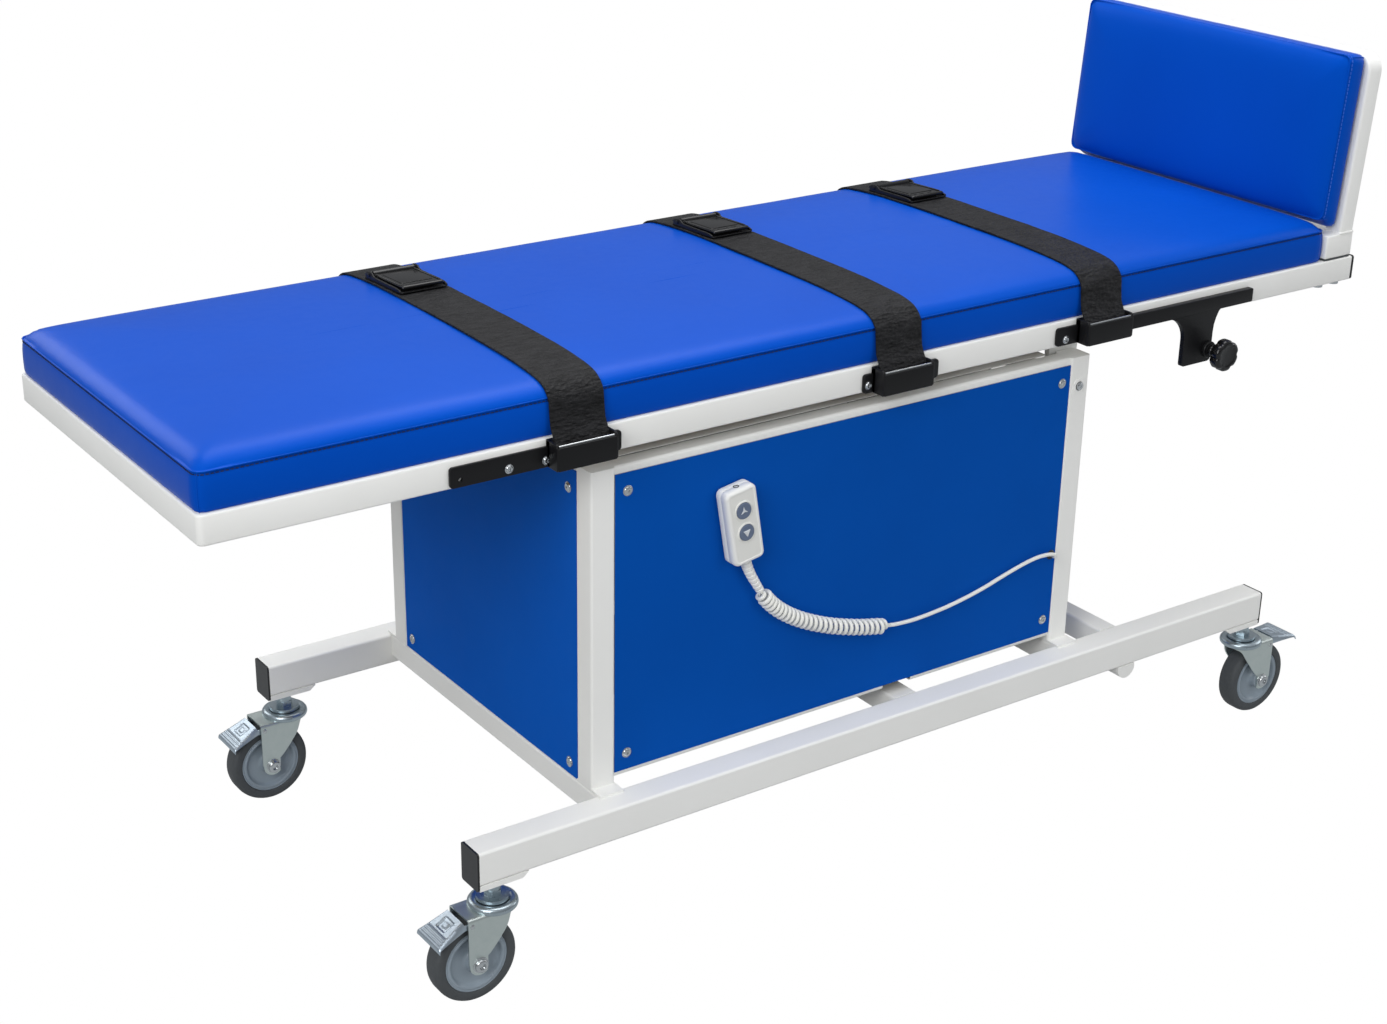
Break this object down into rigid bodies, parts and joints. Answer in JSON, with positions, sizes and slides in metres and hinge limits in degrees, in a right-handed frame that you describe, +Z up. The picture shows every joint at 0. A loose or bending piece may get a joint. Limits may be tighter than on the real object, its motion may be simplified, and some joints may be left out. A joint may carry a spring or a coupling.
{
  "type": "physiotherapy tilt table",
  "caption": "Electrically tilting treatment table: padded platform on a castored box base, footboard, holding straps with cam buckles, hand control on a curly cord.",
  "frame": {"origin": "on the floor under the middle of the length and width, at the base of the wheels", "axes": "+X along the length towards the footboard, +Y to the side with the buckles, +Z up; the hand control is on the -Y side"},
  "size_m": [2.0234, 0.732, 1.1027],
  "materials": {
    "powder_coat": "satin powder coat",
    "blue_front": "satin powder coat",
    "blue_end": "satin powder coat",
    "black_coat": "satin black powder coat",
    "zinc": "zinc plated steel",
    "steel": "bright steel",
    "black_plastic": "moulded black plastic",
    "case_plastic": "fine textured light grey plastic",
    "button_rubber": "silicone rubber",
    "cord_sheath": "soft sheathed cord",
    "vinyl_blue": "vinyl-coated upholstery fabric over foam",
    "board": "plywood",
    "strap_web": "coated webbing",
    "hub_plastic": "moulded grey plastic",
    "tyre_rubber": "soft grey tread",
    "drive_housing": "moulded housing"
  },
  "bodies": {
    "base": {"side_rails": "powder_coat", "rail_end_caps": "black_plastic", "base_cross_tubes": "powder_coat", "box_posts": "powder_coat", "box_crossbars": "powder_coat", "side_panels": "blue_front", "end_panels": "blue_end", "panel_screws": "steel", "pivot_bushes": "steel", "control_box": "drive_housing", "power_inlet": "black_plastic", "handset_hook": "steel", "caster_mounts": "zinc", "actuator_base_pin": "steel", "handset_shell": "case_plastic", "handset_strain_relief": "case_plastic", "handset_curly_cord": "cord_sheath", "handset_lead": "cord_sheath", "cord_gland": "black_plastic"},
    "platform": {"platform_side_tubes": "powder_coat", "platform_cross_members": "powder_coat", "pivot_arms": "powder_coat", "platform_end_caps": "black_plastic", "platform_screws": "steel", "mattress_board": "board", "mattress": "vinyl_blue", "strap_anchors": "black_coat", "accessory_bars": "black_coat", "straps": "strap_web", "buckle_frames": "black_coat", "footboard_frame": "powder_coat", "footboard_back": "board", "footboard_cushion": "vinyl_blue", "footboard_feet": "tyre_rubber"},
    "ram_rod": {"actuator_rod": "steel"},
    "ram_body": {"actuator_body": "drive_housing", "actuator_eye": "drive_housing"},
    "button_up": {"up_button": "button_rubber"},
    "button_down": {"down_button": "button_rubber"},
    "knob_front": {"front_bracket_knob": "black_plastic"},
    "knob_back": {"back_bracket_knob": "black_plastic"},
    "lever_1": {"buckle_lever_1": "black_coat"},
    "lever_2": {"buckle_lever_2": "black_coat"},
    "lever_3": {"buckle_lever_3": "black_coat"},
    "front_head_caster": {"front_head_fork": "zinc"},
    "front_head_wheel": {"front_head_hub": "hub_plastic", "front_head_tyre": "tyre_rubber"},
    "front_head_brake": {"front_head_pedal": "zinc"},
    "back_head_caster": {"back_head_fork": "zinc"},
    "back_head_wheel": {"back_head_hub": "hub_plastic", "back_head_tyre": "tyre_rubber"},
    "back_head_brake": {"back_head_pedal": "zinc"},
    "front_foot_caster": {"front_foot_fork": "zinc"},
    "front_foot_wheel": {"front_foot_hub": "hub_plastic", "front_foot_tyre": "tyre_rubber"},
    "front_foot_brake": {"front_foot_pedal": "zinc"},
    "back_foot_caster": {"back_foot_fork": "zinc"},
    "back_foot_wheel": {"back_foot_hub": "hub_plastic", "back_foot_tyre": "tyre_rubber"},
    "back_foot_brake": {"back_foot_pedal": "zinc"}
  },
  "joints": [
    {"name": "table_tilt", "type": "hinge", "parent": "base", "child": "platform", "pos_m": [0.40528, 0, 0.658], "axis": [0, 1, 0], "range_deg": [0, 70]},
    {"name": "drive_swing", "type": "hinge", "parent": "platform", "child": "ram_rod", "pos_m": [0.25028, 0, 0.698], "axis": [0, 1, 0], "range_deg": [-62.1, 0]},
    {"name": "drive_stroke", "type": "slide", "parent": "ram_rod", "child": "ram_body", "axis": [-0.367, 0, -0.9302], "range_m": [0, 0.16831]},
    {"name": "front_head_swivel", "type": "hinge", "parent": "base", "child": "front_head_caster", "pos_m": [-0.64672, -0.322, 0.14], "axis": [0, 0, 1], "continuous": true},
    {"name": "front_head_roll", "type": "hinge", "parent": "front_head_caster", "child": "front_head_wheel", "pos_m": [-0.68172, -0.322, 0.0625], "axis": [0, 1, 0], "continuous": true},
    {"name": "front_head_pedal", "type": "hinge", "parent": "front_head_caster", "child": "front_head_brake", "pos_m": [-0.69272, -0.322, 0.126], "axis": [0, 1, 0], "range_deg": [0, 22]},
    {"name": "back_head_swivel", "type": "hinge", "parent": "base", "child": "back_head_caster", "pos_m": [-0.64672, 0.322, 0.14], "axis": [0, 0, 1], "continuous": true},
    {"name": "back_head_roll", "type": "hinge", "parent": "back_head_caster", "child": "back_head_wheel", "pos_m": [-0.68172, 0.322, 0.0625], "axis": [0, 1, 0], "continuous": true},
    {"name": "back_head_pedal", "type": "hinge", "parent": "back_head_caster", "child": "back_head_brake", "pos_m": [-0.69272, 0.322, 0.126], "axis": [0, 1, 0], "range_deg": [0, 22]},
    {"name": "front_foot_swivel", "type": "hinge", "parent": "base", "child": "front_foot_caster", "pos_m": [0.80528, -0.322, 0.14], "axis": [0, 0, 1], "continuous": true},
    {"name": "front_foot_roll", "type": "hinge", "parent": "front_foot_caster", "child": "front_foot_wheel", "pos_m": [0.84028, -0.322, 0.0625], "axis": [0, 1, 0], "continuous": true},
    {"name": "front_foot_pedal", "type": "hinge", "parent": "front_foot_caster", "child": "front_foot_brake", "pos_m": [0.85128, -0.322, 0.126], "axis": [0, -1, 0], "range_deg": [-22, 0]},
    {"name": "back_foot_swivel", "type": "hinge", "parent": "base", "child": "back_foot_caster", "pos_m": [0.80528, 0.322, 0.14], "axis": [0, 0, 1], "continuous": true},
    {"name": "back_foot_roll", "type": "hinge", "parent": "back_foot_caster", "child": "back_foot_wheel", "pos_m": [0.84028, 0.322, 0.0625], "axis": [0, 1, 0], "continuous": true},
    {"name": "back_foot_pedal", "type": "hinge", "parent": "back_foot_caster", "child": "back_foot_brake", "pos_m": [0.85128, 0.322, 0.126], "axis": [0, -1, 0], "range_deg": [-22, 0]},
    {"name": "buckle_1_lift", "type": "hinge", "parent": "platform", "child": "lever_1", "pos_m": [-0.49472, 0.19528, 0.8578], "axis": [-1, 0, 0], "range_deg": [0, 100]},
    {"name": "buckle_2_lift", "type": "hinge", "parent": "platform", "child": "lever_2", "pos_m": [0.03528, 0.19528, 0.8578], "axis": [-1, 0, 0], "range_deg": [0, 100]},
    {"name": "buckle_3_lift", "type": "hinge", "parent": "platform", "child": "lever_3", "pos_m": [0.42528, 0.19528, 0.8578], "axis": [-1, 0, 0], "range_deg": [0, 100]},
    {"name": "front_knob_turn", "type": "hinge", "parent": "platform", "child": "knob_front", "pos_m": [0.66228, -0.32, 0.675], "axis": [0, -1, 0], "continuous": true},
    {"name": "back_knob_turn", "type": "hinge", "parent": "platform", "child": "knob_back", "pos_m": [0.66228, 0.32, 0.675], "axis": [0, 1, 0], "continuous": true},
    {"name": "up_press", "type": "slide", "parent": "base", "child": "button_up", "axis": [0, 1, 0], "range_m": [0, 0.0015], "stiffness_N_per_m": 900, "springref_m": -0.001},
    {"name": "down_press", "type": "slide", "parent": "base", "child": "button_down", "axis": [0, 1, 0], "range_m": [0, 0.0015], "stiffness_N_per_m": 900, "springref_m": -0.001}
  ],
  "couplings": [
    {"joint": "drive_swing", "follows": "table_tilt", "ratio": -0.88639},
    {"joint": "drive_stroke", "follows": "table_tilt", "m_per_rad": 0.13768}
  ]
}
